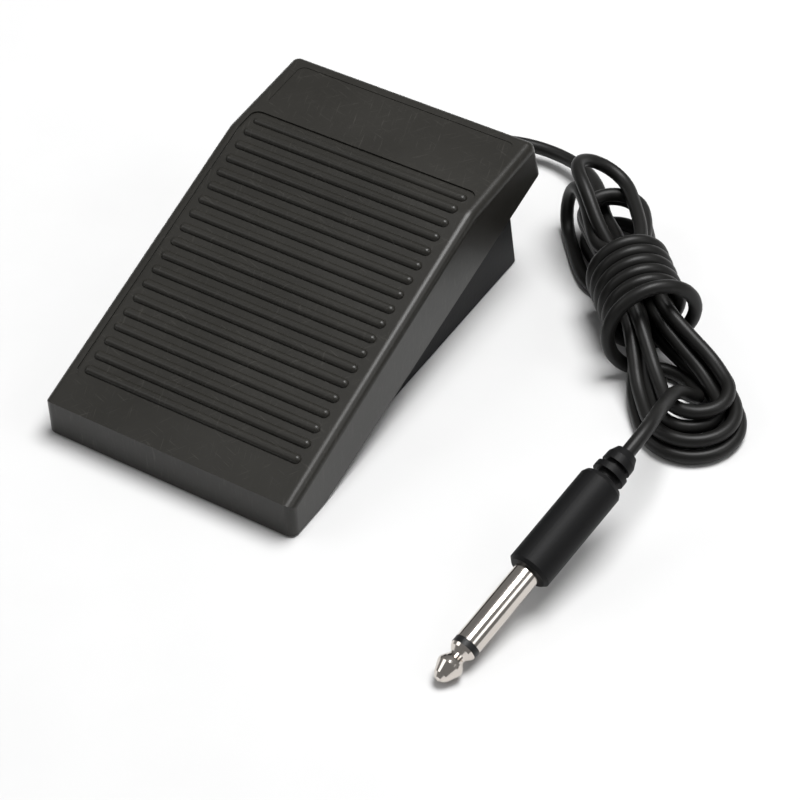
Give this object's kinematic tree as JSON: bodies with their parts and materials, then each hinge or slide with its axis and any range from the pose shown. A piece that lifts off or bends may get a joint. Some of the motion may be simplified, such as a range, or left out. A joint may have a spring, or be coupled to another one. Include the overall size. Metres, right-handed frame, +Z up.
{
  "type": "sustain pedal",
  "caption": "Wedge-shaped sustain foot pedal with a ribbed hinged treadle over a tray base, an enclosed switch, and a hanked cable that ends in a jack plug.",
  "frame": {"origin": "on the surface that the pedal stands on, under the middle of the treadle", "axes": "+X across the pedal to the right as its player sees it from behind the low end, +Y from the low front end to the high rear end where the cable leaves, +Z up"},
  "size_m": [0.1447, 0.1688, 0.0395],
  "materials": {
    "treadle_plastic": "satin moulded black",
    "base_plastic": "moulded black",
    "sole_rubber": "matt",
    "soft_rubber": "matt",
    "steel": "zinc plated",
    "spring_steel": "drawn wire",
    "felt": "felt",
    "switch_plastic": "moulded",
    "button_plastic": "moulded red",
    "terminal_metal": "tinned brass",
    "cable_jacket": "satin pvc",
    "lead_red": "pvc insulation",
    "lead_black": "pvc insulation",
    "gland_pvc": "moulded pvc",
    "handle_pvc": "moulded pvc",
    "plug_ring": "moulded",
    "nickel": "bright nickel plate"
  },
  "bodies": {
    "base": {"base_tray": "base_plastic", "non_slip_sole": "sole_rubber", "hinge_pin": "steel", "spring_left": "spring_steel", "spring_right": "spring_steel", "stop_bumpers": "soft_rubber", "rest_pads": "felt", "switch_case": "switch_plastic", "terminal_common": "terminal_metal", "terminal_open": "terminal_metal", "terminal_closed": "terminal_metal", "switch_screws": "steel", "inner_cable": "cable_jacket", "cable_clamp": "base_plastic", "clamp_screws": "steel", "lead_signal": "lead_red", "lead_ground": "lead_black", "cable_gland": "gland_pvc", "plug_tip": "nickel", "plug_insulator": "plug_ring", "plug_sleeve": "nickel", "plug_handle": "handle_pvc", "cord_lead": "cable_jacket", "cord_hank": "cable_jacket", "cord_tail": "cable_jacket"},
    "treadle": {"treadle": "treadle_plastic", "striker_pad": "soft_rubber"},
    "lever": {"switch_lever": "steel"},
    "button": {"switch_button": "button_plastic"}
  },
  "joints": [
    {"name": "treadle_hinge", "type": "hinge", "parent": "base", "child": "treadle", "pos_m": [0, -0.044, 0.0066], "axis": [-1, 0, 0], "range_deg": [0, 4], "stiffness_Nm_per_rad": 4, "springref_deg": -3.44, "deforming": ["spring_left", "spring_right"]},
    {"name": "lever_pivot", "type": "hinge", "parent": "base", "child": "lever", "pos_m": [0, -0.0152, 0.0151], "axis": [-1, 0, 0], "range_deg": [0, 13.3]},
    {"name": "button_slide", "type": "slide", "parent": "base", "child": "button", "axis": [0, 0, -1], "range_m": [0, 0.00098]}
  ],
  "couplings": [
    {"joint": "lever_pivot", "follows": "treadle_hinge", "ratio": 3.3},
    {"joint": "button_slide", "follows": "treadle_hinge", "m_per_rad": 0.0139}
  ]
}
